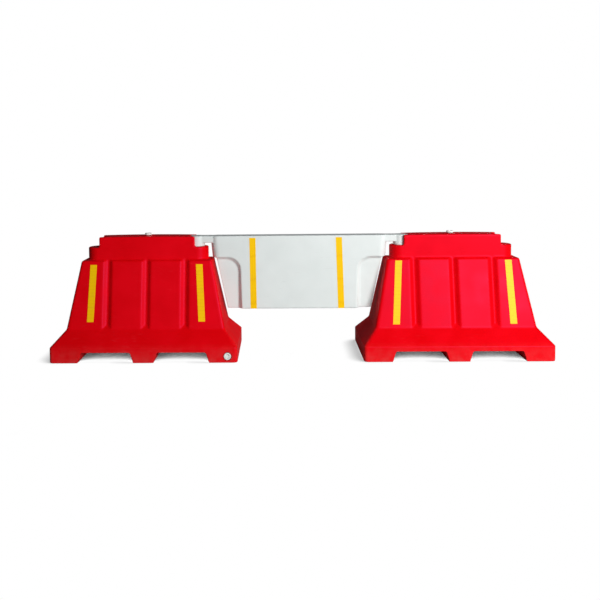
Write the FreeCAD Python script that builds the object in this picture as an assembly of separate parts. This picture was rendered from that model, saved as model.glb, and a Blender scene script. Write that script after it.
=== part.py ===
"""Water-filled road barrier set: two red hollow bases with a white hollow panel hung between them.

Each base is one rotationally moulded tank with a stepped road-barrier profile. It has forklift
slots under it, three V grooves on each long face, a narrow neck on top and a round lug at each
end of the neck. The panel has an arm at each end. A disc at the arm's end lies on the lug, in the
hollow end of the neck, and turns on a loose tubular pin that stands in the lug's socket, so the set
can follow a bend and the panel lifts off. A screw plug with a washer closes the filling port on top
of each base and the draining port in its foot. The right base is the same moulding turned half round.

Frame: millimetres, +Z up, +X along the set, -Y towards the front. The origin is on the ground under
the middle of the panel.
"""

import FreeCAD
import Part
import math
import os
from FreeCAD import Vector

# Base tank, outside sizes
wall = 4.5
base_length = 1000.0
base_depth = 460.0
foot_height = 80.0
waist_height = 160.0
waist_length = 860.0
waist_depth = 304.0
shoulder_height = 522.0
shoulder_length = 718.0
shoulder_depth = 156.0
lug_top = 593.0
lug_length = 668.0
neck_top = 650.0
neck_length = 526.0
neck_depth = 124.0
crown_rise = 3.5

# Forklift slots: the foot edges that bound them, at the ground and at the slot's ceiling
slot_height = 55.0
middle_foot_width = 110.0
end_foot_width = 152.0
slot_side_lean = 17.0

# Grooves in the long faces
groove_count = 3
groove_spacing = 211.0
groove_width = 48.0
groove_floor_width = 8.0
groove_above_waist = 7.0

# Corner radii of the tank
corner_radius = 14.0
foot_edge_radius = 6.0
waist_edge_radius = 12.0
shoulder_edge_radius = 5.0
slot_corner_radius = 8.0
neck_edge_radius = 5.0

# Pivot between a base and the panel
pin_radius = 16.0
pin_bore = 12.5
socket_clearance = 1.0
socket_depth = 50.0
pin_stand_off = 0.5
pin_above_lug = 40.0
disc_bore_clearance = 0.5
disc_bore_above_pin = 2.5
disc_radius = 41.0
disc_seat_gap = 0.3
nest_clearance = 2.0

# Panel, outside sizes
panel_wall = 4.0
panel_length = 976.0
panel_top_depth = 80.0
panel_bottom_depth = 104.0
panel_bottom = 248.0
panel_end_lean = 35.0
lug_gap = 12.0
arm_depth = 64.0
arm_height = 38.0
band_clearance = 9.0
tongue_depth = 58.0
tongue_gap_top = 22.0
tongue_gap_bottom = 26.0
recess_inner_x = 325.0
recess_corner_radius = 80.0
recess_flank = 10.0
panel_edge_radius = 5.0
vent_radius = 8.0
vent_head_radius = 13.0
vent_head_height = 3.0
vent_shank_length = 12.0

# Screw plugs and their ports
plug_head_overhang = 6.2
plug_head_height = 9.0
plug_shank_radius = 12.8
plug_shank_length = 17.0
plug_hollow_radius = 8.0
plug_recess_radius = 11.5
plug_recess_depth = 5.0
plug_grip_width = 5.0
plug_edge_radius = 1.5
thread_depth = 1.4
thread_pitch = 4.5
thread_clearance = 0.4
insert_wall = 4.5
insert_length = 20.0
boss_wall = 6.0
washer_thickness = 2.0
washer_margin = 1.0
fill_pad_radius = 30.0
fill_pad_height = 2.0
drain_from_end = 53.0
drain_height = 33.0
drain_pocket_margin = 4.5
drain_pocket_depth = 12.0

# Reflective strips
tape_thickness = 0.6
base_tape_width = 36.0
left_tape_bottom = 200.0
left_tape_top = 502.0
left_tape_top_x = 289.0
left_tape_slants = (10.0, 16.0)
right_tape_bottom = 180.0
right_tape_top = 514.0
right_tape_top_x = 295.0
right_tape_slants = (11.0, 23.0)
panel_tape_width = 34.0
panel_tape_left_x = -255.0
panel_tape_right_x = 219.0
panel_tape_left_slant = 4.0
panel_tape_right_slant = 11.0
panel_tape_top_margin = 11.0
panel_tape_bottom_margin = 1.0

# Places worked out from the sizes above
lug_radius = neck_depth / 2
lug_axis_x = lug_length / 2 - lug_radius
hinge_x = panel_length / 2 + lug_gap + lug_radius
base_centre_x = hinge_x + lug_axis_x
groove_depth = (shoulder_depth - neck_depth) / 2
band_bottom = shoulder_height + band_clearance
panel_top = neck_top
fill_pad_top = neck_top + crown_rise + fill_pad_height
port_radius = plug_shank_radius + thread_clearance
insert_radius = port_radius + insert_wall
plug_head_radius = plug_shank_radius + plug_head_overhang
drain_pocket_radius = plug_head_radius + drain_pocket_margin
drain_x = base_length / 2 - drain_from_end
past = 50.0


def in_front(u, v, y=0.0):
    """A point of the front elevation: u along the set, v up."""
    return Vector(u, y, v)


def in_side(u, v, x=0.0):
    """A point of the side elevation: u towards the back, v up."""
    return Vector(x, u, v)


def in_plan(u, v, z=0.0):
    """A point of the plan: u along the set, v towards the back."""
    return Vector(u, v, z)


def outline(corners, place, level):
    """A closed wire through the corners (u, v, radius), each rounded by an arc of its radius."""
    edges = []
    count = len(corners)
    joints = []
    for i, (u, v, radius) in enumerate(corners):
        at = Vector(u, v, 0)
        back = (Vector(*corners[i - 1][:2], 0) - at).normalize()
        ahead = (Vector(*corners[(i + 1) % count][:2], 0) - at).normalize()
        if radius <= 0:
            joints.append((at, None, at))
            continue
        half = back.getAngle(ahead) / 2
        reach = radius / math.tan(half)
        bisector = (back + ahead).normalize()
        middle = at + bisector * (radius / math.sin(half) - radius)
        joints.append((at + back * reach, middle, at + ahead * reach))
    for i, (start, middle, end) in enumerate(joints):
        if middle is not None:
            points = [place(p.x, p.y, level) for p in (start, middle, end)]
            edges.append(Part.Arc(*points).toShape())
        after = joints[(i + 1) % count][0]
        if (after - end).Length > 1e-6:
            edges.append(Part.makeLine(place(end.x, end.y, level), place(after.x, after.y, level)))
    return Part.Wire(edges)


def inset(corners, distance):
    """The corners of the outline moved inwards by a distance, for corners listed anticlockwise."""
    moved = []
    count = len(corners)
    for i, (u, v, radius) in enumerate(corners):
        at = Vector(u, v, 0)
        into = (at - Vector(*corners[i - 1][:2], 0)).normalize()
        out = (Vector(*corners[(i + 1) % count][:2], 0) - at).normalize()
        turn = into.x * out.y - into.y * out.x
        normal_in = Vector(-into.y, into.x, 0)
        normal_out = Vector(-out.y, out.x, 0)
        shift = (normal_in + normal_out) * (distance / (1 + normal_in.dot(normal_out)))
        new_radius = max(radius - distance, 0.5) if turn > 0 else radius + distance
        moved.append((at.x + shift.x, at.y + shift.y, new_radius if radius > 0 else 0))
    return moved


def prism_front(corners, half_depth):
    """The front outline, extruded evenly about the middle plane."""
    face = Part.Face(outline(corners, in_front, -half_depth))
    return face.extrude(Vector(0, 2 * half_depth, 0))


def prism_side(corners, half_length):
    """The side outline, extruded evenly about the middle of the length."""
    face = Part.Face(outline(corners, in_side, -half_length))
    return face.extrude(Vector(2 * half_length, 0, 0))


def prism_plan(corners, bottom, top):
    """The plan outline, extruded from bottom to top."""
    face = Part.Face(outline(corners, in_plan, bottom))
    return face.extrude(Vector(0, 0, top - bottom))


def upright(radius, x, bottom, top):
    """A vertical cylinder on the set's middle plane."""
    return Part.makeCylinder(radius, top - bottom, Vector(x, 0, bottom))


def interpolate(level, low, high, at_low, at_high):
    """The value at a level between two levels, on a straight line."""
    return at_low + (at_high - at_low) * (level - low) / (high - low)


def base_half_depth(z):
    """Half the tank's depth at a height between waist and shoulder."""
    return interpolate(z, waist_height, shoulder_height, waist_depth / 2, shoulder_depth / 2)


def base_half_length(z):
    """Half the tank's length at a height between waist and shoulder."""
    return interpolate(z, waist_height, shoulder_height, waist_length / 2, shoulder_length / 2)


def front_corners():
    """Half of the tank's front outline up to the shoulder, without its slots."""
    return [
        (base_length / 2, 0, 0),
        (base_length / 2, foot_height, 0),
        (waist_length / 2, waist_height, 0),
        (shoulder_length / 2, shoulder_height, 0),
    ]


def side_corners():
    """Half of the tank's side outline up to the shoulder."""
    return [
        (base_depth / 2, 0, 0),
        (base_depth / 2, foot_height, 0),
        (waist_depth / 2, waist_height, 0),
        (shoulder_depth / 2, shoulder_height, 0),
    ]


def mirrored(half):
    """The whole outline that belongs to its right half, listed from the bottom up."""
    return half + [(-u, v, r) for u, v, r in reversed(half)]


def slot_corners():
    """The right forklift slot, with a strip along the ground on both sides of it."""
    inner = base_length / 2 - end_foot_width
    mid = middle_foot_width / 2
    lean = slot_side_lean
    strip = foot_edge_radius * 2
    return [
        (mid - strip, -past, 0),
        (inner + strip, -past, 0),
        (inner + strip, 0, 0),
        (inner, 0, foot_edge_radius),
        (inner - lean, slot_height, slot_corner_radius),
        (mid + lean, slot_height, slot_corner_radius),
        (mid, 0, foot_edge_radius),
        (mid - strip, 0, 0),
    ]


def neck_front_corners():
    """The neck and lugs in front view: a crowned top between two steps."""
    half = neck_length / 2
    straight = 0.75 * half
    slope = crown_rise / (half - straight / 2)
    ridge_radius = straight / math.tan(slope)
    right = [
        (lug_length / 2, shoulder_height - 2 * wall, 0),
        (lug_length / 2, lug_top, 0),
        (half, lug_top, neck_edge_radius / 2),
        (half, neck_top, neck_edge_radius),
    ]
    ridge = [(0, neck_top + half * math.tan(slope), ridge_radius)]
    return right + ridge + [(-u, v, r) for u, v, r in reversed(right)]


def lug_plan_corners():
    """The plan of neck and lugs: a long shape with round ends."""
    half, radius = lug_length / 2, lug_radius
    corners = [(half, -radius, radius), (half, radius, radius)]
    return corners + [(-u, -v, r) for u, v, r in corners]


def tank_body(skin):
    """The tank below the shoulder, without slots, its faces moved in by the skin."""
    fronts = inset(mirrored(front_corners()), skin)
    sides = inset(mirrored(side_corners()), skin)
    radius = corner_radius - skin
    wires = []
    for (length, level, _), (depth, _, _) in zip(fronts[:4], sides[:4]):
        half = [(length, -depth, radius), (length, depth, radius)]
        corners = half + [(-u, -v, r) for u, v, r in half]
        wires.append(outline(corners, in_plan, level))
    blocks = [Part.makeLoft(wires[i : i + 2], True, True) for i in range(3)]
    return blocks[0].fuse(blocks[1:]).removeSplitter()


def slots(skin):
    """Both forklift slots, their faces moved out by the skin."""
    right = prism_front(inset(slot_corners(), -skin), base_depth / 2 + past)
    left = right.copy()
    left.rotate(Vector(0, 0, 0), Vector(0, 0, 1), 180)
    return [right, left]


def rounded_body():
    """The tank's outside below the shoulder, with its long edges rounded."""
    body = tank_body(0)
    levels = (
        (0, foot_edge_radius),
        (foot_height, foot_edge_radius),
        (waist_height, waist_edge_radius),
        (shoulder_height, shoulder_edge_radius),
    )
    for level, radius in levels:
        ring = []
        for edge in body.Edges:
            box = edge.BoundBox
            if abs(box.ZMin - level) < 0.01 and abs(box.ZMax - level) < 0.01:
                ring.append(edge)
        body = body.makeFillet(radius, ring)
    return body


def tank_neck(skin):
    """Neck and lugs above the shoulder, with their faces moved in by the skin."""
    along = prism_front(inset(neck_front_corners(), skin), neck_depth)
    plan = prism_plan(inset(lug_plan_corners(), skin), shoulder_height - 3 * wall, neck_top + past)
    neck = along.common(plan)
    nest_radius = disc_radius + nest_clearance + skin
    for side in (-1, 1):
        neck = neck.cut(upright(nest_radius, side * lug_axis_x, lug_top - skin, neck_top + past))
    return neck


def groove(x, face_side, skin):
    """A V groove down a long face, open at the shoulder, with a sloping lower end."""
    rise = waist_height - foot_height
    run = (base_depth - waist_depth) / 2
    lower = waist_height + groove_above_waist - skin * math.hypot(rise, run) / run
    top = shoulder_height + skin
    depth = groove_depth + skin
    slope = (waist_depth - shoulder_depth) / 2 / (shoulder_height - waist_height)
    floor_end = lower + depth * rise / (run - rise * slope)
    profile = [
        (base_half_depth(lower) + past, lower - past * rise / run, 0),
        (base_half_depth(lower) + past, top, 0),
        (base_half_depth(top) - depth, top, 0),
        (base_half_depth(floor_end) - depth, floor_end, 0),
    ]
    narrow = groove_floor_width / 2 + skin / 2
    wide = groove_width / 2 + skin
    outer = narrow + (wide - narrow) * (depth + past) / depth

    def section(z):
        """The V's section at a height, from its floor out to well past the face."""
        floor_y = base_half_depth(z) - depth
        outer_y = floor_y + depth + past
        points = [
            Vector(-narrow, floor_y, z),
            Vector(-outer, outer_y, z),
            Vector(outer, outer_y, z),
            Vector(narrow, floor_y, z),
        ]
        return Part.makePolygon(points + points[:1])

    vee = Part.makeLoft([section(foot_height), section(top)], True, True)
    cutter = prism_side(profile, groove_width * 2).common(vee)
    if face_side < 0:
        cutter.rotate(Vector(0, 0, 0), Vector(0, 0, 1), 180)
    cutter.translate(Vector(x, 0, 0))
    return cutter


def all_grooves(skin):
    """Every groove of one base."""
    first = -(groove_count - 1) / 2
    cutters = []
    for i in range(groove_count):
        for face_side in (-1, 1):
            cutters.append(groove((first + i) * groove_spacing, face_side, skin))
    return cutters


def drain_cylinder(radius, depth):
    """A cylinder from in front of the foot's front face into the foot, on the draining port's axis."""
    start = Vector(drain_x, -base_depth / 2 - past, drain_height)
    return Part.makeCylinder(radius, depth + past, start, Vector(0, 1, 0))


def base_shell():
    """The hollow tank, standing at the origin."""
    outer = rounded_body().fuse(tank_neck(0))
    outer = outer.fuse(upright(fill_pad_radius, 0, neck_top - wall, fill_pad_top))
    outer = outer.cut(all_grooves(0) + slots(0)).removeSplitter()

    cavity = tank_body(wall).fuse(tank_neck(wall)).cut(all_grooves(wall) + slots(wall))
    solid_in_cavity = [
        upright(insert_radius + boss_wall, 0, fill_pad_top - insert_length - wall, neck_top + past),
        drain_cylinder(drain_pocket_radius + wall, drain_pocket_depth + wall),
        drain_cylinder(insert_radius + boss_wall, drain_pocket_depth + insert_length + wall),
    ]
    holes = [
        upright(insert_radius, 0, fill_pad_top - insert_length - past, fill_pad_top + past),
        drain_cylinder(drain_pocket_radius, drain_pocket_depth),
        drain_cylinder(insert_radius, drain_pocket_depth + insert_length + past),
    ]
    socket_radius = pin_radius + socket_clearance
    for side in (-1, 1):
        x = side * lug_axis_x
        floor = lug_top - socket_depth
        solid_in_cavity.append(upright(socket_radius + wall, x, floor - wall, neck_top + past))
        holes.append(upright(socket_radius, x, floor, neck_top + past))
    cavity = cavity.cut(solid_in_cavity)
    return outer.cut(cavity).cut(holes)


def port_insert(top):
    """The threaded ring moulded into a port, its top face at the given height, on the Z axis."""
    ring = upright(insert_radius, 0, top - insert_length, top)
    return ring.cut(upright(port_radius, 0, top - past, top + past))


def port_washer(seat):
    """The flat washer between the port and the plug's head."""
    ring = upright(plug_head_radius - washer_margin, 0, seat, seat + washer_thickness)
    return ring.cut(upright(port_radius, 0, seat - past, seat + past))


def screw_plug(seat):
    """The plug: a round head with a grip bar across its recess, and a hollow threaded shank."""
    head_top = seat + plug_head_height
    head = upright(plug_head_radius, 0, seat, head_top)
    rims = [e for e in head.Edges if abs(e.BoundBox.ZMin - head_top) < 1e-6 and len(e.Vertexes) == 1]
    head = head.makeFillet(plug_edge_radius, rims)
    floor = head_top - plug_recess_depth
    recess = upright(plug_recess_radius, 0, floor, head_top + 1)
    corner = Vector(-plug_recess_radius, -plug_grip_width / 2, floor)
    grip = Part.makeBox(2 * plug_recess_radius, plug_grip_width, plug_recess_depth + 1, corner)
    head = head.cut(recess.cut(grip))
    shank = upright(plug_shank_radius, 0, seat - plug_shank_length, seat)
    ridge_count = int(plug_shank_length / thread_pitch)
    for i in range(ridge_count):
        z = seat - washer_thickness - (i + 0.5) * thread_pitch
        shank = shank.cut(thread_gap(z))
    plug = head.fuse(shank)
    return plug.cut(upright(plug_hollow_radius, 0, seat - past, seat))


def thread_gap(z):
    """The ring between two ridges of the shank's thread."""
    root = plug_shank_radius - thread_depth
    half = thread_pitch * 0.32
    points = [
        Vector(root, 0, z - half / 2),
        Vector(plug_shank_radius + 1, 0, z - half),
        Vector(plug_shank_radius + 1, 0, z + half),
        Vector(root, 0, z + half / 2),
    ]
    face = Part.Face(Part.makePolygon(points + points[:1]))
    return face.revolve(Vector(0, 0, 0), Vector(0, 0, 1), 360)


def to_drain(shape, seat):
    """Turns a piece made upright at the origin to point out of the foot's front face."""
    shape.rotate(Vector(0, 0, 0), Vector(1, 0, 0), 90)
    shape.translate(Vector(drain_x, seat, drain_height))
    return shape


def tape_on_slope(corners, low, high, half_low, half_high):
    """A strip on a leaning front face. Its corners are (x, z), its face runs from low to high."""
    points = [Vector(x, -interpolate(z, low, high, half_low, half_high), z) for x, z in corners]
    face = Part.Face(Part.makePolygon(points + points[:1]))
    lean = math.atan2(half_low - half_high, high - low)
    return face.extrude(Vector(0, -math.cos(lean), math.sin(lean)) * tape_thickness)


def slanted_strip(top_x, slant, width, bottom, top):
    """The corners (x, z) of a strip whose foot stands further out than its top by the slant."""
    half = width / 2
    foot_x = top_x + slant
    return [(foot_x - half, bottom), (foot_x + half, bottom), (top_x + half, top), (top_x - half, top)]


def base_tapes(bottom, top, top_x, slants):
    """The four strips of a base that stands at the origin, by the place they are on."""
    tapes = {}
    for side, name, slant in ((-1, "left", slants[0]), (1, "right", slants[1])):
        strip = slanted_strip(side * top_x, side * slant, base_tape_width, bottom, top)
        limits = (waist_height, shoulder_height, waist_depth / 2, shoulder_depth / 2)
        tapes[f"front_{name}"] = tape_on_slope(strip, *limits)
        back = tape_on_slope([(-x, z) for x, z in strip], *limits)
        back.rotate(Vector(0, 0, 0), Vector(0, 0, 1), 180)
        tapes[f"back_{name}"] = back
    return tapes


def panel_half_depth(z):
    """Half the panel's depth at a height."""
    return interpolate(z, panel_bottom, panel_top, panel_bottom_depth / 2, panel_top_depth / 2)


def panel_block(skin):
    """The panel between its ends: a slab with round ends that tapers upwards in depth."""
    wires = []
    for z in (panel_bottom + skin, panel_top - skin):
        depth = panel_half_depth(z) - skin
        length = panel_length / 2 - skin
        length -= interpolate(z, panel_bottom, panel_top, panel_end_lean, 0)
        corners = [(length, -depth, depth), (length, depth, depth)]
        corners += [(-u, -v, r) for u, v, r in corners]
        wires.append(outline(corners, in_plan, z))
    return Part.makeLoft(wires, True, True)


def tongue_end(z):
    """How far the panel's lower part reaches from the middle, at a height."""
    gap = interpolate(z, panel_bottom, band_bottom, tongue_gap_bottom, tongue_gap_top)
    return base_centre_x - base_half_length(z) - gap


def end_cutter(side, skin):
    """What is cut off the panel's end, below its upper band."""
    low, high = panel_bottom - past, band_bottom + skin
    far = panel_length / 2 + past
    corners = [
        (tongue_end(low) - skin, low, 0),
        (far, low, 0),
        (far, high, 0),
        (tongue_end(high) - skin, high, 0),
    ]
    cutter = prism_front(corners, panel_bottom_depth)
    if side < 0:
        cutter.rotate(Vector(0, 0, 0), Vector(0, 0, 1), 180)
    return cutter


def recess_cutter(side, face_side, skin):
    """The hollow in a panel's lower corner, with sloping flanks and a round inner corner."""
    floor_y = tongue_depth / 2 - skin
    slope_run = panel_half_depth(band_bottom) - tongue_depth / 2
    outer_y = floor_y + 2 * slope_run
    low, far = panel_bottom - past, panel_length / 2 + past
    wires = []
    for y, flank in ((floor_y, recess_flank - skin), (outer_y, -recess_flank - skin)):
        corners = [
            (recess_inner_x + flank, low, 0),
            (far, low, 0),
            (far, band_bottom - flank, 0),
            (recess_inner_x + flank, band_bottom - flank, recess_corner_radius - flank),
        ]
        wires.append(outline([(side * u, v, r) for u, v, r in corners], in_front, face_side * y))
    return Part.makeLoft(wires, True, True)


def panel_arm(side, skin):
    """One arm and its disc, up to the round end of the panel."""
    inner_x = panel_length / 2 - panel_top_depth / 2 - skin
    corner = Vector(inner_x, -arm_depth / 2 + skin, panel_top - arm_height + skin)
    arm = Part.makeBox(hinge_x - inner_x, arm_depth - 2 * skin, arm_height - 2 * skin, corner)
    disc_bottom = lug_top + disc_seat_gap
    arm = arm.fuse(upright(disc_radius - skin, hinge_x, disc_bottom + skin, panel_top - skin))
    if side < 0:
        arm.rotate(Vector(0, 0, 0), Vector(0, 0, 1), 180)
    return arm


def panel_form(skin):
    """The panel's whole shape, with its faces moved in by the skin."""
    form = panel_block(skin)
    for side in (-1, 1):
        form = form.cut(end_cutter(side, skin))
        for face_side in (-1, 1):
            form = form.cut(recess_cutter(side, face_side, skin))
    for side in (-1, 1):
        form = form.fuse(panel_arm(side, skin))
    return form.removeSplitter()


def panel_shell():
    """The hollow panel with its arms, the bores for the pins and the vent hole."""
    outer = panel_form(0)
    rim = [e for e in outer.Edges if abs(e.BoundBox.ZMin - panel_top) < 0.01]
    outer = outer.makeFillet(panel_edge_radius, rim)
    cavity = panel_form(panel_wall)
    bore_radius = pin_radius + disc_bore_clearance
    bore_top = lug_top + pin_above_lug + disc_bore_above_pin
    holes = [upright(vent_radius, 0, panel_bottom - past, panel_bottom + past)]
    for side in (-1, 1):
        x = side * hinge_x
        cavity = cavity.cut(upright(bore_radius + panel_wall, x, lug_top, bore_top + panel_wall))
        holes.append(upright(bore_radius, x, lug_top - past, bore_top))
    return outer.cut(cavity).cut(holes)


def vent_plug():
    """The push-in plug that closes the panel's vent hole."""
    head = upright(vent_head_radius, 0, panel_bottom - vent_head_height, panel_bottom)
    return head.fuse(upright(vent_radius, 0, panel_bottom, panel_bottom + vent_shank_length))


def panel_tapes():
    """The four strips of the panel, by the place they are on."""
    tapes = {}
    bottom = panel_bottom + panel_tape_bottom_margin
    top = panel_top - panel_tape_top_margin
    limits = (panel_bottom, panel_top, panel_bottom_depth / 2, panel_top_depth / 2)
    places = (
        ("left", panel_tape_left_x, panel_tape_left_slant),
        ("right", panel_tape_right_x, panel_tape_right_slant),
    )
    for name, x, slant in places:
        strip = slanted_strip(x, slant, panel_tape_width, bottom, top)
        tapes[f"front_{name}"] = tape_on_slope(strip, *limits)
        back = tape_on_slope([(-u, z) for u, z in strip], *limits)
        back.rotate(Vector(0, 0, 0), Vector(0, 0, 1), 180)
        tapes[f"back_{name}"] = back
    return tapes


def pivot_pin():
    """The loose tube in a lug's socket, on the Z axis."""
    bottom = lug_top - socket_depth + pin_stand_off
    top = lug_top + pin_above_lug
    return upright(pin_radius, 0, bottom, top).cut(upright(pin_bore, 0, bottom, top))


def base_pieces(tape_sizes):
    """Every piece of one base that stands at the origin, by name."""
    drain_seat = -base_depth / 2 + drain_pocket_depth
    pieces = {"base_shell": base_shell()}
    pieces["fill_port_insert"] = port_insert(fill_pad_top)
    pieces["fill_washer"] = port_washer(fill_pad_top)
    pieces["fill_plug"] = screw_plug(fill_pad_top + washer_thickness)
    pieces["drain_port_insert"] = to_drain(port_insert(0), drain_seat)
    pieces["drain_washer"] = to_drain(port_washer(0), drain_seat)
    pieces["drain_plug"] = to_drain(screw_plug(washer_thickness), drain_seat)
    for place, tape in base_tapes(*tape_sizes).items():
        pieces[f"tape_{place}"] = tape
    return pieces


def check_pieces(pieces):
    """Stops if a piece is not a valid closed solid."""
    for name, shape in pieces.items():
        solids = shape.Solids
        if not solids or not shape.isValid() or min(s.Volume for s in solids) <= 0:
            raise ValueError(f"{name} is not a valid solid")


def main():
    pieces = {"panel_shell": panel_shell(), "panel_vent_plug": vent_plug()}
    for place, tape in panel_tapes().items():
        pieces[f"panel_tape_{place}"] = tape
    bases = (
        ("left", -1, (left_tape_bottom, left_tape_top, left_tape_top_x, left_tape_slants)),
        ("right", 1, (right_tape_bottom, right_tape_top, right_tape_top_x, right_tape_slants)),
    )
    for name, side, tape_sizes in bases:
        for piece, shape in base_pieces(tape_sizes).items():
            if side > 0:
                shape.rotate(Vector(0, 0, 0), Vector(0, 0, 1), 180)
            shape.translate(Vector(side * base_centre_x, 0, 0))
            pieces[f"{name}_{piece}"] = shape
        pin = pivot_pin()
        pin.translate(Vector(side * hinge_x, 0, 0))
        pieces[f"{name}_pivot_pin"] = pin
    check_pieces(pieces)
    os.makedirs("parts", exist_ok=True)
    for name, shape in pieces.items():
        shape.exportStep(f"parts/{name}.step")


main()
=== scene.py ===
import bpy
import math
from mathutils import Matrix, Vector


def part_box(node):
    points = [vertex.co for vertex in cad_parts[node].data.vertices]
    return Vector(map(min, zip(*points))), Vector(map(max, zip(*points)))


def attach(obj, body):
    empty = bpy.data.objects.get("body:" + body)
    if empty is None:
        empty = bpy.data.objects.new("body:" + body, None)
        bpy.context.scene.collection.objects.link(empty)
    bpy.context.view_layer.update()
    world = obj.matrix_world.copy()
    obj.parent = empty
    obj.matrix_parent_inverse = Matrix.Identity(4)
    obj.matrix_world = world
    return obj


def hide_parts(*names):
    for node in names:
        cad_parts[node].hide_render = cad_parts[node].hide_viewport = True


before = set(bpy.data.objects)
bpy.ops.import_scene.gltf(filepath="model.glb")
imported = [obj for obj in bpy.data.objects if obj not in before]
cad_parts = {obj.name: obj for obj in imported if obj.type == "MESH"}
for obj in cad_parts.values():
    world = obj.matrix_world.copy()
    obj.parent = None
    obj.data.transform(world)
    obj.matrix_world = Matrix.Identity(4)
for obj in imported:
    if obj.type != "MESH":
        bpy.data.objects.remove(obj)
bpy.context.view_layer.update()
print("frame loaded:", len(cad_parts), "nodes")


view = {
    "place": (-0.1137, -3.8592, 1.0845),
    "pitchDown": 0.0544,  # radians
    "turn": 0.0202,
    "roll": -0.0103,
    "focal": 41.9355,
    "shiftX": 0.0607,
    "shiftY": -0.1757,
}


def addCamera():
    bpy.ops.object.camera_add()
    camera = bpy.context.object
    camera.name = "barrierCamera"
    camera.data.sensor_width = 36.0
    camera.data.lens = view["focal"]
    camera.data.shift_x = view["shiftX"]
    camera.data.shift_y = view["shiftY"]
    camera.data.clip_end = 100.0
    turn = Matrix.Rotation(view["turn"], 4, "Z")
    tip = Matrix.Rotation(math.pi / 2 - view["pitchDown"], 4, "X")
    roll = Matrix.Rotation(view["roll"], 4, "Z")
    camera.matrix_world = Matrix.Translation(view["place"]) @ turn @ tip @ roll
    bpy.context.scene.camera = camera


white = (1.0, 1.0, 1.0, 1.0)
studio = {
    "backdrop": 1.0,  # what the camera sees behind the floor
    "sky": (0.85, 0.90, 1.0, 1.0),  # what lights the object from all round
    "skyStrength": 0.07,
    "lights": {  # place, aim, size, power
        "key": ((2.6, -4.0, 1.7), (0.45, 0.0, 0.30), 2.0, 268.0),
        "front": ((-0.6, -5.0, 1.2), (-0.5, 0.0, 0.30), 2.5, 14.0),
        "rear": ((2.2, 5.0, 1.9), (0.0, 0.0, 0.30), 2.5, 150.0),
    },
    "floorSize": 200.0,
    "floorZ": -0.0005,
    "floorBounce": (0.30, 0.30, 0.30, 1.0),
    "contactReach": 0.50,  # painted shadow under the feet, taken from the floor's occlusion: how open the floor is from black to white
    "contactOpen": (0.032, 0.062),
    "sideReach": 0.12,  # softer painted shadow beside them, on the side away from the key light
    "sideLean": (0.80, -0.15, 0.58),
    "sideOpen": (0.35, 0.75),
    "sideDark": 0.45,
    "sideFrom": (0.20, 0.45),  # the openness past which the side shadow counts
}


def byCameraRay(tree):
    return tree.nodes.new("ShaderNodeLightPath").outputs["Is Camera Ray"]


def addSoftLight(name, place, aim, size, power):
    bpy.ops.object.light_add(type="AREA", location=place)
    light = bpy.context.object
    light.name = name
    light.data.shape = "DISK"
    light.data.size = size
    light.data.energy = power
    light.rotation_euler = (Vector(place) - Vector(aim)).to_track_quat("Z", "Y").to_euler()
    light.visible_glossy = name != "rearLight"


def addOcclusion(tree, reach, lean=None):  # how open the floor is, upwards or the leaning way
    node = tree.nodes.new("ShaderNodeAmbientOcclusion")
    node.samples = 24
    node.inputs["Distance"].default_value = reach
    if lean:
        direction = tree.nodes.new("ShaderNodeCombineXYZ")
        for axis, value in enumerate(lean):
            direction.inputs[axis].default_value = value
        tree.links.new(direction.outputs[0], node.inputs["Normal"])
    return node.outputs["AO"]


def addFloor():  # white to the camera but for the painted contact and side shadows, a dull grey to the object
    bpy.ops.mesh.primitive_plane_add(size=studio["floorSize"], location=(0, 0, studio["floorZ"]))
    floor = bpy.context.object
    floor.name = "studioFloor"
    paint = bpy.data.materials.new("paleFloor")
    paint.use_nodes = True
    tree = paint.node_tree
    shader = tree.nodes["Principled BSDF"]
    shader.inputs["Base Color"].default_value = studio["floorBounce"]
    shader.inputs["Roughness"].default_value = 1.0
    shader.inputs["Specular IOR Level"].default_value = 0.0
    # painted contact shadow: the floor's glow goes dark where the tanks close it in from above
    under = addOcclusion(tree, studio["contactReach"])
    deep = remap(tree, under, *studio["contactOpen"], 0.0, 1.0, "SMOOTHSTEP")
    # painted side shadow: occlusion that leans towards the key light darkens the floor's glow
    # beside the tanks
    side = addOcclusion(tree, studio["sideReach"], studio["sideLean"])
    side = remap(tree, side, *studio["sideOpen"], studio["sideDark"], 1.0)
    outside = remap(tree, under, *studio["sideFrom"], 0.0, 1.0)
    side = mixColours(tree, outside, white, side)
    seen = mathNode(tree, "MULTIPLY", deep, side)
    glow = tree.nodes.new("ShaderNodeEmission")
    glow.inputs["Color"].default_value = white
    tree.links.new(seen, glow.inputs["Strength"])
    choose = tree.nodes.new("ShaderNodeMixShader")
    tree.links.new(byCameraRay(tree), choose.inputs[0])
    tree.links.new(shader.outputs[0], choose.inputs[1])
    tree.links.new(glow.outputs[0], choose.inputs[2])
    tree.links.new(choose.outputs[0], tree.nodes["Material Output"].inputs["Surface"])
    floor.data.materials.append(paint)


def addStudio():
    world = bpy.data.worlds.new("studioWorld")
    bpy.context.scene.world = world
    world.use_nodes = True
    tree = world.node_tree
    back = tree.nodes["Background"]
    seen = byCameraRay(tree)
    tree.links.new(mixColours(tree, seen, studio["sky"], white), back.inputs["Color"])
    strength = remap(tree, seen, 0.0, 1.0, studio["skyStrength"], studio["backdrop"])
    tree.links.new(strength, back.inputs["Strength"])
    for name, values in studio["lights"].items():
        addSoftLight(name + "Light", *values)
    addFloor()
    bpy.context.scene.view_settings.view_transform = "Standard"
    bpy.context.scene.view_settings.look = "None"
    print("camera, lights and floor placed")


def newGroup(name, inputs, outputs):
    group = bpy.data.node_groups.new(name, "ShaderNodeTree")
    for label, kind, value in inputs:
        socket = group.interface.new_socket(name=label, in_out="INPUT", socket_type=kind)
        if value is not None:
            socket.default_value = value
    for label, kind in outputs:
        group.interface.new_socket(name=label, in_out="OUTPUT", socket_type=kind)
    return group, group.nodes.new("NodeGroupInput"), group.nodes.new("NodeGroupOutput")


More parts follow.
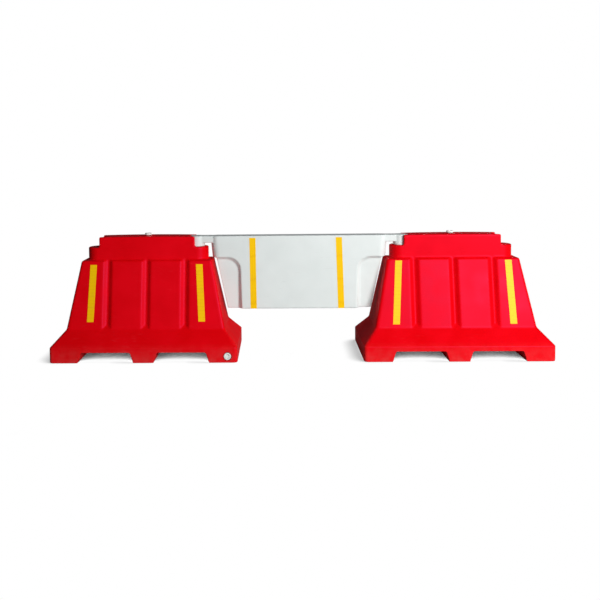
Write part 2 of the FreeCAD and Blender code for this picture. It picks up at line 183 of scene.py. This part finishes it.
def mathNode(tree, operation, first, second=None, clamp=False):
    node = tree.nodes.new("ShaderNodeMath")
    node.operation = operation
    node.use_clamp = clamp
    for index, value in enumerate((first, second)):
        if value is None:
            continue
        if isinstance(value, (int, float)):
            node.inputs[index].default_value = value
        else:
            tree.links.new(value, node.inputs[index])
    return node.outputs[0]


def mixColours(tree, factor, colourA, colourB):
    node = tree.nodes.new("ShaderNodeMix")
    node.data_type = "RGBA"
    for index, value in ((0, factor), (6, colourA), (7, colourB)):
        if isinstance(value, (int, float, tuple)):
            node.inputs[index].default_value = value
        else:
            tree.links.new(value, node.inputs[index])
    return node.outputs[2]


def remap(tree, value, fromLow, fromHigh, toLow, toHigh, blend="LINEAR"):
    node = tree.nodes.new("ShaderNodeMapRange")
    node.interpolation_type = blend
    tree.links.new(value, node.inputs[0])
    for index, number in enumerate((fromLow, fromHigh, toLow, toHigh)):
        node.inputs[index + 1].default_value = number
    return node.outputs[0]


def noise(tree, vector, scale, detail=2.0, roughness=0.5):
    node = tree.nodes.new("ShaderNodeTexNoise")
    node.inputs["Scale"].default_value = scale
    node.inputs["Detail"].default_value = detail
    node.inputs["Roughness"].default_value = roughness
    tree.links.new(vector, node.inputs["Vector"])
    return node.outputs["Fac"]


addCamera()
addStudio()


def makeMouldedGrain():  # soft mottle and fine orange peel of rotationally moulded polyethylene
    group, start, end = newGroup(
        "mouldedGrain",
        [
            ("Vector", "NodeSocketVector", None),
            ("Peel Scale", "NodeSocketFloat", 260.0),
            ("Wave Scale", "NodeSocketFloat", 9.0),
        ],
        [("Height", "NodeSocketFloat"), ("Mottle", "NodeSocketFloat")],
    )
    fine = group.nodes.new("ShaderNodeTexNoise")
    fine.inputs["Detail"].default_value = 3.0
    group.links.new(start.outputs["Vector"], fine.inputs["Vector"])
    group.links.new(start.outputs["Peel Scale"], fine.inputs["Scale"])
    wave = group.nodes.new("ShaderNodeTexNoise")
    wave.inputs["Detail"].default_value = 1.5
    group.links.new(start.outputs["Vector"], wave.inputs["Vector"])
    group.links.new(start.outputs["Wave Scale"], wave.inputs["Scale"])
    small = mathNode(group, "MULTIPLY", fine.outputs["Fac"], 0.12)
    group.links.new(mathNode(group, "ADD", small, wave.outputs["Fac"]), end.inputs["Height"])
    group.links.new(wave.outputs["Fac"], end.inputs["Mottle"])
    return group


def makeScuffs():  # short fine scratches and rubbed spots, as a mask
    group, start, end = newGroup(
        "scuffs",
        [("Vector", "NodeSocketVector", None), ("Amount", "NodeSocketFloat", 0.3)],
        [("Mask", "NodeSocketFloat")],
    )
    stretch = group.nodes.new("ShaderNodeMapping")
    stretch.inputs["Scale"].default_value = (6.0, 60.0, 45.0)
    stretch.inputs["Rotation"].default_value = (0.2, 0.5, 0.3)
    group.links.new(start.outputs["Vector"], stretch.inputs["Vector"])
    lines = remap(group, noise(group, stretch.outputs[0], 3.0, 4.0, 0.6), 0.60, 0.72, 0.0, 1.0)
    patches = remap(group, noise(group, start.outputs["Vector"], 5.0, 2.0), 0.50, 0.66, 0.0, 1.0)
    both = mathNode(group, "MULTIPLY", lines, patches)
    mask = mathNode(group, "MULTIPLY", both, start.outputs["Amount"], True)
    group.links.new(mask, end.inputs["Mask"])
    return group


def makeRoadDust():  # grey dust that gathers low down, as a mask
    group, start, end = newGroup(
        "roadDust",
        [
            ("Vector", "NodeSocketVector", None),
            ("Reach", "NodeSocketFloat", 0.10),
            ("Amount", "NodeSocketFloat", 0.3),
        ],
        [("Mask", "NodeSocketFloat")],
    )
    split = group.nodes.new("ShaderNodeSeparateXYZ")
    group.links.new(start.outputs["Vector"], split.inputs[0])
    rise = mathNode(group, "DIVIDE", split.outputs["Z"], start.outputs["Reach"])
    low = mathNode(group, "SUBTRACT", 1.0, rise, True)
    cloud = remap(group, noise(group, start.outputs["Vector"], 22.0, 4.0, 0.6), 0.35, 0.7, 0.2, 1.0)
    both = mathNode(group, "MULTIPLY", low, cloud)
    mask = mathNode(group, "MULTIPLY", both, start.outputs["Amount"], True)
    group.links.new(mask, end.inputs["Mask"])
    return group


grainGroup = makeMouldedGrain()
scuffGroup = makeScuffs()
dustGroup = makeRoadDust()


def placeGroup(tree, group, vector, amount=None):
    node = tree.nodes.new("ShaderNodeGroup")
    node.node_tree = group
    tree.links.new(vector, node.inputs["Vector"])
    if amount is not None:
        node.inputs["Amount"].default_value = amount
    return node


dustColour = (0.36, 0.32, 0.29, 1.0)
finishes = {
    "basePlastic": {
        "colour": (0.76, 0.001, 0.004, 1.0), "deep": (0.70, 0.0005, 0.002, 1.0),
        "rubbed": (0.80, 0.06, 0.07, 1.0), "rough": 0.44, "bump": 0.12,
        "wear": 0.3, "dust": 0.10, "shine": 0.12, "sheen": (0.6, 0.25, 0.85, 1.0),
    },
    "panelPlastic": {
        "colour": (0.70, 0.745, 0.73, 1.0), "deep": (0.665, 0.71, 0.695, 1.0),
        "rubbed": (0.50, 0.52, 0.50, 1.0), "rough": 0.45, "bump": 0.15,
        "wear": 0.3, "dust": 0.0, "shine": 0.15, "sheen": white,
    },
    "plugPlastic": {
        "colour": (0.80, 0.82, 0.78, 1.0), "deep": (0.70, 0.73, 0.69, 1.0),
        "rubbed": (0.5, 0.5, 0.47, 1.0), "rough": 0.38, "bump": 0.1,
        "wear": 0.4, "dust": 0.1, "shine": 0.3, "sheen": white,
    },
}


def newMaterial(name):
    material = bpy.data.materials.new(name)
    material.use_nodes = True
    tree = material.node_tree
    coordinates = tree.nodes.new("ShaderNodeTexCoord")
    return material, tree, tree.nodes["Principled BSDF"], coordinates.outputs["Object"]


def addBump(tree, shader, height, strength, distance):
    bump = tree.nodes.new("ShaderNodeBump")
    bump.inputs["Strength"].default_value = strength
    bump.inputs["Distance"].default_value = distance
    tree.links.new(height, bump.inputs["Height"])
    tree.links.new(bump.outputs[0], shader.inputs["Normal"])


def makePlastic(name):
    look = finishes[name]
    material, tree, shader, place = newMaterial(name)
    grain = placeGroup(tree, grainGroup, place)
    scuff = placeGroup(tree, scuffGroup, place, look["wear"])
    dust = placeGroup(tree, dustGroup, place, look["dust"])
    patchy = remap(tree, grain.outputs["Mottle"], 0.3, 0.7, 0.0, 1.0)
    colour = mixColours(tree, patchy, look["deep"], look["colour"])
    colour = mixColours(tree, scuff.outputs["Mask"], colour, look["rubbed"])
    colour = mixColours(tree, dust.outputs["Mask"], colour, dustColour)
    tree.links.new(colour, shader.inputs["Base Color"])
    base = look["rough"]
    rough = remap(tree, grain.outputs["Mottle"], 0.3, 0.7, base - 0.04, base + 0.05)
    scratched = mathNode(tree, "MULTIPLY", scuff.outputs["Mask"], 0.3)
    dusty = mathNode(tree, "MULTIPLY", dust.outputs["Mask"], 0.4)
    rough = mathNode(tree, "ADD", rough, scratched)
    rough = mathNode(tree, "ADD", rough, dusty, True)
    tree.links.new(rough, shader.inputs["Roughness"])
    addBump(tree, shader, grain.outputs["Height"], look["bump"], 0.002)
    shader.inputs["IOR"].default_value = 1.5
    shader.inputs["Specular IOR Level"].default_value = look["shine"]
    shader.inputs["Specular Tint"].default_value = look["sheen"]
    return material


plasticRed = makePlastic("basePlastic")
plasticWhite = makePlastic("panelPlastic")
plasticPlug = makePlastic("plugPlastic")


tapeLook = {
    "colour": (0.93, 0.56, 0.0, 1.0), "seam": (0.76, 0.40, 0.0, 1.0),
    "grime": (0.45, 0.27, 0.05, 1.0), "cell": 260.0, "rough": 0.40, "shine": 0.12,
}


def makeTape():  # honeycomb cells of retroreflective sheeting
    material, tree, shader, place = newMaterial("reflectiveTape")
    cells = tree.nodes.new("ShaderNodeTexVoronoi")
    cells.feature = "DISTANCE_TO_EDGE"
    cells.inputs["Scale"].default_value = tapeLook["cell"]
    cells.inputs["Randomness"].default_value = 0.15
    tree.links.new(place, cells.inputs["Vector"])
    seam = remap(tree, cells.outputs["Distance"], 0.03, 0.09, 1.0, 0.0)
    edge = mathNode(tree, "MULTIPLY", seam, 0.5)
    colour = mixColours(tree, edge, tapeLook["colour"], tapeLook["seam"])
    grime = remap(tree, noise(tree, place, 30.0, 4.0), 0.55, 0.75, 0.0, 0.15)
    colour = mixColours(tree, grime, colour, tapeLook["grime"])
    tree.links.new(colour, shader.inputs["Base Color"])
    shader.inputs["Roughness"].default_value = tapeLook["rough"]
    shader.inputs["Specular IOR Level"].default_value = tapeLook["shine"]
    addBump(tree, shader, seam, 0.15, 0.0004)
    return material


def makeSimple(name, colour, spread, rough, metal, scale):  # a slightly cloudy plain material
    material, tree, shader, place = newMaterial(name)
    cloud = noise(tree, place, scale, 4.0)
    dark = tuple(c * (1 - spread) for c in colour[:3]) + (1.0,)
    tree.links.new(mixColours(tree, cloud, dark, colour), shader.inputs["Base Color"])
    cloudyRough = remap(tree, cloud, 0.3, 0.7, rough - 0.06, rough + 0.06)
    tree.links.new(cloudyRough, shader.inputs["Roughness"])
    shader.inputs["Metallic"].default_value = metal
    return material


tapeYellow = makeTape()
insertDark = makeSimple("insertPlastic", (0.08, 0.08, 0.085, 1.0), 0.3, 0.5, 0.0, 80.0)
rubberBlack = makeSimple("washerRubber", (0.03, 0.03, 0.03, 1.0), 0.4, 0.75, 0.0, 120.0)
zincSteel = makeSimple("pinSteel", (0.62, 0.63, 0.65, 1.0), 0.25, 0.36, 1.0, 90.0)
print("finishes made")


def materialFor(node):
    if "tape" in node:
        return tapeYellow
    if "insert" in node:
        return insertDark
    if "washer" in node:
        return rubberBlack
    if "pin" in node:
        return zincSteel
    if "plug" in node:
        return plasticPlug
    return plasticWhite if "panel" in node else plasticRed


for name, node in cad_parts.items():
    node.data.materials.clear()
    node.data.materials.append(materialFor(name))


# every dimension below is in metres, in the same frame as the solids
def clearSelection():
    if bpy.context.object and bpy.context.object.mode != "OBJECT":
        bpy.ops.object.mode_set(mode="OBJECT")
    bpy.ops.object.select_all(action="DESELECT")


def makeActive(piece):
    clearSelection()
    bpy.context.view_layer.objects.active = piece
    piece.select_set(True)


def applyPlace(piece):
    makeActive(piece)
    bpy.ops.object.transform_apply(location=True, rotation=True, scale=True)


def addBlock(name, low, high):
    clearSelection()
    bpy.ops.mesh.primitive_cube_add(size=1.0, location=[(a + b) / 2 for a, b in zip(low, high)])
    piece = bpy.context.object
    piece.name = name
    piece.scale = [b - a for a, b in zip(low, high)]
    applyPlace(piece)
    return piece


def addRound(name, radius, place, low, high, topRadius=None, sides=128):
    clearSelection()
    bpy.ops.mesh.primitive_cone_add(
        vertices=sides, radius1=radius, radius2=radius if topRadius is None else topRadius,
        depth=high - low, location=(*place, (low + high) / 2),
    )
    piece = bpy.context.object
    piece.name = name
    applyPlace(piece)
    return piece


def copyPiece(source, name):
    piece = source.copy()
    piece.data = source.data.copy()
    piece.name = name
    bpy.context.scene.collection.objects.link(piece)
    return piece


def pickFaces(piece, wanted):  # goes into edit mode with only the wanted faces selected
    makeActive(piece)
    bpy.ops.object.mode_set(mode="EDIT")
    bpy.ops.mesh.select_mode(type="FACE")
    bpy.ops.mesh.select_all(action="DESELECT")
    bpy.ops.object.mode_set(mode="OBJECT")
    for face in piece.data.polygons:
        face.select = wanted(face)
    bpy.ops.object.mode_set(mode="EDIT")


def pickEdges(piece, wanted):  # wanted takes the two ends of an edge
    makeActive(piece)
    bpy.ops.object.mode_set(mode="EDIT")
    bpy.ops.mesh.select_mode(type="EDGE")
    bpy.ops.mesh.select_all(action="DESELECT")
    bpy.ops.object.mode_set(mode="OBJECT")
    points = piece.data.vertices
    for edge in piece.data.edges:
        edge.select = wanted(points[edge.vertices[0]].co, points[edge.vertices[1]].co)
    bpy.ops.object.mode_set(mode="EDIT")


def leaveEdit():
    bpy.ops.object.mode_set(mode="OBJECT")


def faceOutwards(piece):
    pickFaces(piece, lambda face: True)
    bpy.ops.mesh.normals_make_consistent(inside=False)
    leaveEdit()


def weldPoints(piece):
    pickFaces(piece, lambda face: True)
    bpy.ops.mesh.remove_doubles(threshold=1e-6)
    leaveEdit()


def applyModifier(piece, kind, **settings):
    makeActive(piece)
    modifier = piece.modifiers.new(kind.lower(), kind)
    for key, value in settings.items():
        setattr(modifier, key, value)
    bpy.ops.object.modifier_apply(modifier=modifier.name)


def combine(piece, tool, operation):
    applyModifier(piece, "BOOLEAN", object=tool, operation=operation, solver="EXACT")
    bpy.data.objects.remove(tool)


def cutRound(piece, radius, place, low, high):
    combine(piece, addRound("cutter", radius, place, low, high, sides=96), "DIFFERENCE")


def softenMould(piece, voxel, passes):  # one skin with the soft edges that come out of a mould
    applyModifier(piece, "REMESH", mode="VOXEL", voxel_size=voxel)
    applyModifier(piece, "SMOOTH", factor=0.5, iterations=passes)


def finishSkin(piece, material, degrees):
    piece.data.materials.clear()
    piece.data.materials.append(material)
    makeActive(piece)
    bpy.ops.object.shade_smooth_by_angle(angle=math.radians(degrees))


tank = {
    "footLength": 1.0, "footDepth": 0.46, "footTop": 0.080,
    "waistLength": 0.860, "waistDepth": 0.304, "waistZ": 0.160,
    "shoulderLength": 0.718, "shoulderDepth": 0.156, "shoulderZ": 0.522,
    "cornerRadius": 0.014,
    "slotInner": 0.055, "slotOuter": 0.348, "slotTop": 0.055, "slotLean": 0.017, "slotBelow": 0.04,
    "lugTop": 0.593, "lugAxis": 0.272, "lugRadius": 0.062,
    "neckTop": 0.650, "neckHalf": 0.263, "crown": 0.0035, "nestRadius": 0.043,
    "padRadius": 0.030, "padTop": 0.6553,
    "grooveAt": (-0.211, 0.0, 0.211), "grooveStart": 0.159, "grooveOut": 0.03,
    "grooveFloor": 0.004, "grooveHalf": 0.025, "grooveDepth": 0.016,
    "drainAt": (0.447, 0.033), "pocketRadius": 0.0235, "pocketDepth": 0.0123,
    "portRadius": 0.0178, "portDepth": 0.030,
    "socketRadius": 0.0172, "socketDepth": 0.050,
    "overrun": 0.05,  # how far a cutter goes past the surface it opens
    "voxel": 0.0050, "softPasses": 3, "smoothAngle": 50,
}


def addFlaredTank():
    length, depth, top = tank["footLength"], tank["footDepth"], tank["footTop"]
    body = addBlock("tankBody", (-length / 2, -depth / 2, 0), (length / 2, depth / 2, top))
    pickFaces(body, lambda face: face.normal.z > 0.9)
    for level in ("waist", "shoulder"):
        nextLength, nextDepth, nextTop = (tank[level + part] for part in ("Length", "Depth", "Z"))
        bpy.ops.mesh.extrude_region_move(TRANSFORM_OT_translate={"value": (0, 0, nextTop - top)})
        bpy.ops.transform.resize(value=(nextLength / length, nextDepth / depth, 1))
        length, depth, top = nextLength, nextDepth, nextTop
    leaveEdit()
    pickEdges(body, lambda a, b: abs(a.z - b.z) > 0.01)
    bpy.ops.mesh.bevel(offset=tank["cornerRadius"], segments=5)
    leaveEdit()
    return body


def cutSlots(body):  # forklift slots right through the depth
    middle = (tank["slotInner"] + tank["slotOuter"]) / 2
    top = (tank["slotOuter"] - tank["slotInner"]) / 2 - tank["slotLean"]
    below = tank["slotBelow"]
    bottom = top + tank["slotLean"] * (tank["slotTop"] + below) / tank["slotTop"]
    y = tank["footDepth"] / 2 + tank["overrun"]
    for side in (-1, 1):
        x = side * middle
        cutter = addBlock("slotCutter", (x - top, -y, -below), (x + top, y, tank["slotTop"]))
        pickFaces(cutter, lambda face: face.normal.z < -0.9)
        bpy.ops.transform.resize(value=(bottom / top, 1, 1))
        leaveEdit()
        combine(body, cutter, "DIFFERENCE")


def flankY(z):  # half the depth of the leaning side at a height
    share = (z - tank["waistZ"]) / (tank["shoulderZ"] - tank["waistZ"])
    return (tank["waistDepth"] + share * (tank["shoulderDepth"] - tank["waistDepth"])) / 2


def cutGrooves(body):
    outside, inside = tank["grooveOut"], tank["grooveDepth"]
    rise = tank["waistZ"] - tank["footTop"]
    run = (tank["footDepth"] - tank["waistDepth"]) / 2
    lean = (tank["waistDepth"] - tank["shoulderDepth"]) / 2 / (tank["shoulderZ"] - tank["waistZ"])
    climb = rise / (run - rise * lean)
    floorZ = tank["grooveStart"] + inside * climb
    outerZ = tank["grooveStart"] - outside * climb
    topZ = tank["shoulderZ"] + 0.02
    narrow = tank["grooveFloor"]
    spread = narrow + (tank["grooveHalf"] - narrow) * (inside + outside) / inside
    for x in tank["grooveAt"]:
        for side in (-1, 1):
            cutter = addBlock("grooveCutter", (-1, 0, 0), (1, 1, 1))
            for corner in cutter.data.vertices:
                outer = corner.co.y > 0.5
                z = topZ if corner.co.z > 0.5 else (outerZ if outer else floorZ)
                y = flankY(z) + (outside if outer else -inside)
                half = spread if outer else narrow
                corner.co = (x + math.copysign(half, corner.co.x), side * y, z)
            faceOutwards(cutter)
            combine(body, cutter, "DIFFERENCE")


def addNeck():
    half, radius = tank["neckHalf"], tank["lugRadius"]
    axis, lugTop = tank["lugAxis"], tank["lugTop"]
    sunk = tank["shoulderZ"] - 0.03
    neck = addBlock("neck", (-half, -radius, sunk), (half, radius, tank["neckTop"]))
    pickEdges(neck, lambda a, b: abs(a.x - b.x) > 0.1)
    bpy.ops.mesh.subdivide(number_cuts=15)
    leaveEdit()
    for point in neck.data.vertices:
        if point.co.z > lugTop:
            point.co.z += tank["crown"] * (1 - (point.co.x / half) ** 2)
    combine(neck, addRound("pad", tank["padRadius"], (0, 0), lugTop, tank["padTop"]), "UNION")
    above = tank["neckTop"] + tank["overrun"]
    for x in (-axis, axis):
        cutRound(neck, tank["nestRadius"], (x, 0), lugTop - 0.02, above)
    slab = addBlock("lugSlab", (-axis, -radius, sunk), (axis, radius, lugTop))
    for x in (-axis, axis):
        combine(slab, addRound("lug", radius, (x, 0), sunk, lugTop), "UNION")
    combine(neck, slab, "UNION")
    return neck


def cutPorts(skin):  # crisp holes, after the mould's soft edges
    x, z = tank["drainAt"]
    pocket, port, past = tank["pocketDepth"], tank["portDepth"], tank["overrun"]
    for radius, depth in ((tank["pocketRadius"], pocket), (tank["portRadius"], pocket + port)):
        cutter = addRound("portCutter", radius, (0, 0), -past, depth, sides=96)
        cutter.rotation_euler = (-math.pi / 2, 0, 0)
        cutter.location = (x, -tank["footDepth"] / 2, z)
        applyPlace(cutter)
        combine(skin, cutter, "DIFFERENCE")
    cutRound(skin, tank["portRadius"], (0, 0), tank["padTop"] - port, tank["padTop"] + past)
    socketFloor = tank["lugTop"] - tank["socketDepth"]
    for x in (-tank["lugAxis"], tank["lugAxis"]):
        cutRound(skin, tank["socketRadius"], (x, 0), socketFloor, tank["neckTop"] + past)


def makeTankSkin():
    skin = addFlaredTank()
    cutGrooves(skin)
    combine(skin, addNeck(), "UNION")
    cutSlots(skin)
    softenMould(skin, tank["voxel"], tank["softPasses"])
    cutPorts(skin)
    weldPoints(skin)
    return skin


def placeTank(source, name, centre, turned):
    piece = copyPiece(source, name)
    piece.rotation_euler = (0, 0, math.pi if turned else 0)
    piece.location = (centre, 0, 0)
    applyPlace(piece)
    finishSkin(piece, plasticRed, tank["smoothAngle"])
    return piece


sourceTank = makeTankSkin()
for side in ("left", "right"):
    low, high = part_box(side + "_base_shell")
    skin = placeTank(sourceTank, side + "TankSkin", (low.x + high.x) / 2, side == "right")
    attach(skin, side + "_base")
    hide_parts(side + "_base_shell")
bpy.data.objects.remove(sourceTank)
print("tank skins made:", len(skin.data.polygons), "faces each")


panel = {
    "bottom": 0.248, "top": 0.650, "bottomHalf": 0.052, "topHalf": 0.040,
    "bottomX": 0.401, "topX": 0.448,  # where the round ends have their axes
    "tongueX": (0.3848, 0.4548), "bandZ": 0.531,  # the tongue's end at the bottom and at the band
    "tongueOuter": 0.65,
    "recessX": (0.335, 0.66), "recessZ": (0.18, 0.521), "recessRadius": 0.070,
    "recessFloor": 0.027, "recessOut": 0.0582, "recessFlank": 0.026,
    "armHalf": 0.032, "armBottom": 0.612,
    "hingeX": 0.562, "discRadius": 0.041, "discBottom": 0.5933,
    "boreRadius": 0.0165, "boreTop": 0.6355,
    "voxel": 0.0033, "softPasses": 3, "smoothAngle": 50,
}


def addPanelSlab():  # thicker and shorter at the bottom, with round ends
    bottom, top = panel["bottom"], panel["top"]
    slab = addBlock("panelSkin", (-1, -1, 0), (1, 1, 1))
    for corner in slab.data.vertices:
        level = "top" if corner.co.z > 0.5 else "bottom"
        x = math.copysign(panel[level + "X"], corner.co.x)
        y = math.copysign(panel[level + "Half"], corner.co.y)
        corner.co = (x, y, panel[level])
    for side in (-1, 1):
        place = (side * panel["bottomX"], 0)
        end = addRound("panelEnd", panel["bottomHalf"], place, bottom, top, panel["topHalf"])
        pickFaces(end, lambda face: face.normal.z > 0.9)
        bpy.ops.transform.translate(value=(side * (panel["topX"] - panel["bottomX"]), 0, 0))
        leaveEdit()
        combine(slab, end, "UNION")
    return slab


def cutPanelEnd(skin, side):  # the slanting tongue and the hollow on both of its faces
    cutter = addBlock("tongueCutter", (0, -0.1, 0), (1, 0.1, 1))
    for corner in cutter.data.vertices:
        high = corner.co.z > 0.5
        inner = panel["tongueX"][1 if high else 0]
        x = panel["tongueOuter"] if corner.co.x > 0.5 else inner
        corner.co = (side * x, corner.co.y, panel["bandZ"] if high else panel["bottom"] - 0.05)
    faceOutwards(cutter)
    combine(skin, cutter, "DIFFERENCE")
    (nearX, farX), (lowZ, highZ) = panel["recessX"], panel["recessZ"]
    for face in (-1, 1):
        low, high = (nearX, panel["recessFloor"], lowZ), (farX, panel["recessOut"], highZ)
        cutter = addBlock("recessCutter", low, high)
        pickEdges(cutter, lambda a, b: abs(a.y - b.y) > 0.01 and a.z > 0.4 and a.x < 0.5)
        bpy.ops.mesh.bevel(offset=panel["recessRadius"], segments=16)
        leaveEdit()
        pickFaces(cutter, lambda f: f.normal.y > 0.9)
        bpy.ops.transform.translate(value=(-panel["recessFlank"], 0, panel["recessFlank"]))
        leaveEdit()
        for corner in cutter.data.vertices:
            corner.co = (side * corner.co.x, face * corner.co.y, corner.co.z)
        faceOutwards(cutter)
        combine(skin, cutter, "DIFFERENCE")


def addArm(skin, side):  # reaches over the tank's lug and ends in the disc that turns on the pin
    hinge, half, top = panel["hingeX"], panel["armHalf"], panel["top"]
    arm = addBlock("arm", (panel["topX"], -half, panel["armBottom"]), (hinge, half, top))
    disc = addRound("disc", panel["discRadius"], (hinge, 0), panel["discBottom"], top)
    combine(arm, disc, "UNION")
    if side < 0:
        arm.rotation_euler = (0, 0, math.pi)
        applyPlace(arm)
    combine(skin, arm, "UNION")


def makePanelSkin():
    skin = addPanelSlab()
    for side in (-1, 1):
        cutPanelEnd(skin, side)
    for side in (-1, 1):
        addArm(skin, side)
    softenMould(skin, panel["voxel"], panel["softPasses"])
    for x in (-panel["hingeX"], panel["hingeX"]):
        cutRound(skin, panel["boreRadius"], (x, 0), panel["discBottom"] - 0.02, panel["boreTop"])
    return skin


panelSkin = makePanelSkin()
finishSkin(panelSkin, plasticWhite, panel["smoothAngle"])
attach(panelSkin, "panel")
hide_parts("panel_shell")
print("panel skin made:", len(panelSkin.data.polygons), "faces")


plug = {
    "headRadius": 0.019, "headHeight": 0.009, "rimBevel": 0.0016,
    "notches": 24, "notchRadius": 0.0011, "notchOut": 0.0003,
    "recessRadius": 0.0115, "recessDepth": 0.0049, "recessAbove": 0.0008,
    "recessTaper": (0.001, 0.0002),  # how much narrower at the floor and wider above the head
    "gripHalf": 0.0025, "gripDrop": 0.0006, "gripReach": 0.02, "gripBevel": 0.0009,
    "rootRadius": 0.0114, "shankLength": 0.017, "hollowRadius": 0.008, "hollowTop": -0.0003,
    "threadRadius": 0.0128, "threadSunk": 0.0006, "threadHalf": 0.2,  # a share of the pitch
    "threadFoot": 1.2, "threadCrest": 0.45,  # shares of threadHalf
    "pitch": 0.0045, "threadTop": -0.0030, "threadTurns": 2.6, "threadSteps": 40,
    "smoothAngle": 35,
}


def addThread():  # one helical ridge, swept from its section by a screw modifier
    inner, outer = plug["rootRadius"] - plug["threadSunk"], plug["threadRadius"]
    half = plug["pitch"] * plug["threadHalf"]
    turns = plug["threadTurns"]
    clearSelection()
    bpy.ops.mesh.primitive_plane_add(size=1.0)
    ridge = bpy.context.object
    ridge.name = "threadRidge"
    for corner in ridge.data.vertices:
        far = corner.co.x > 0
        z = half * (plug["threadCrest"] if far else plug["threadFoot"])
        corner.co = (outer if far else inner, 0, math.copysign(z, corner.co.y))
    steps = int(plug["threadSteps"] * turns)
    applyModifier(
        ridge, "SCREW", axis="Z", angle=math.tau * turns, screw_offset=-plug["pitch"] * turns,
        steps=steps, render_steps=steps, use_merge_vertices=True, merge_threshold=1e-6,
    )
    pickEdges(ridge, lambda a, b: False)
    bpy.ops.mesh.select_non_manifold()
    bpy.ops.mesh.edge_face_add()
    leaveEdit()
    faceOutwards(ridge)
    ridge.location = (0, 0, plug["threadTop"])
    applyPlace(ridge)
    return ridge


def cutNotches(head):  # the knurled rim
    top, past = plug["headHeight"], 0.01
    axis = plug["headRadius"] + plug["notchOut"]
    notch = addRound("notch", plug["notchRadius"], (axis, 0), -past, top + past, sides=12)
    for step in range(plug["notches"]):
        tool = copyPiece(notch, "notchTool")
        tool.rotation_euler = (0, 0, math.tau * step / plug["notches"])
        applyPlace(tool)
        combine(head, tool, "DIFFERENCE")
    bpy.data.objects.remove(notch)


def addRecess():  # the round hollow in the head, less the bar to grip
    top, reach, half = plug["headHeight"], plug["gripReach"], plug["gripHalf"]
    low, high = top - plug["recessDepth"], top + plug["recessAbove"]
    narrower, wider = plug["recessTaper"]
    radius = plug["recessRadius"]
    recess = addRound("recess", radius - narrower, (0, 0), low, high, radius + wider, sides=96)
    grip = addBlock("grip", (-reach, -half, 0), (reach, half, top - plug["gripDrop"]))
    pickEdges(grip, lambda a, b: min(a.z, b.z) > top / 2 and abs(a.x - b.x) > 0.01)
    bpy.ops.mesh.bevel(offset=plug["gripBevel"], segments=3)
    leaveEdit()
    combine(recess, grip, "DIFFERENCE")
    return recess


def addShank():
    low = -plug["shankLength"]
    shank = addRound("shank", plug["rootRadius"], (0, 0), low, 0.001, sides=96)
    combine(shank, addThread(), "UNION")
    cutRound(shank, plug["hollowRadius"], (0, 0), low - 0.01, plug["hollowTop"])
    return shank


def makePlugSkin():
    top = plug["headHeight"]
    head = addRound("plugSkin", plug["headRadius"], (0, 0), 0, top, sides=144)
    pickEdges(head, lambda a, b: min(a.z, b.z) > top - 1e-5)
    bpy.ops.mesh.bevel(offset=plug["rimBevel"], segments=4)
    leaveEdit()
    cutNotches(head)
    combine(head, addRecess(), "DIFFERENCE")
    combine(head, addShank(), "UNION")
    weldPoints(head)
    return head


def placePlug(source, name, turn, place):
    piece = copyPiece(source, name)
    piece.matrix_world = Matrix.Translation(place) @ turn
    applyPlace(piece)
    finishSkin(piece, plasticPlug, plug["smoothAngle"])
    return piece


sourcePlug = makePlugSkin()
for side in ("left", "right"):
    for port in ("fill", "drain"):
        node = side + "_" + port + "_plug"
        low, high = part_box(node)
        x, y, z = (low + high) / 2
        if port == "fill":  # stands in the neck's top
            turn, place = Matrix.Identity(4), (x, y, high.z - plug["headHeight"])
        elif side == "left":  # lies in the foot and faces forwards
            turn, place = Matrix.Rotation(math.pi / 2, 4, "X"), (x, low.y + plug["headHeight"], z)
        else:  # the same on the tank that is turned half round
            turn = Matrix.Rotation(math.pi, 4, "Z") @ Matrix.Rotation(math.pi / 2, 4, "X")
            place = (x, high.y - plug["headHeight"], z)
        skin = placePlug(sourcePlug, side + port.capitalize() + "PlugSkin", turn, place)
        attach(skin, node)
        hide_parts(node)
bpy.data.objects.remove(sourcePlug)
print("plug skins made:", len(skin.data.polygons), "faces each")
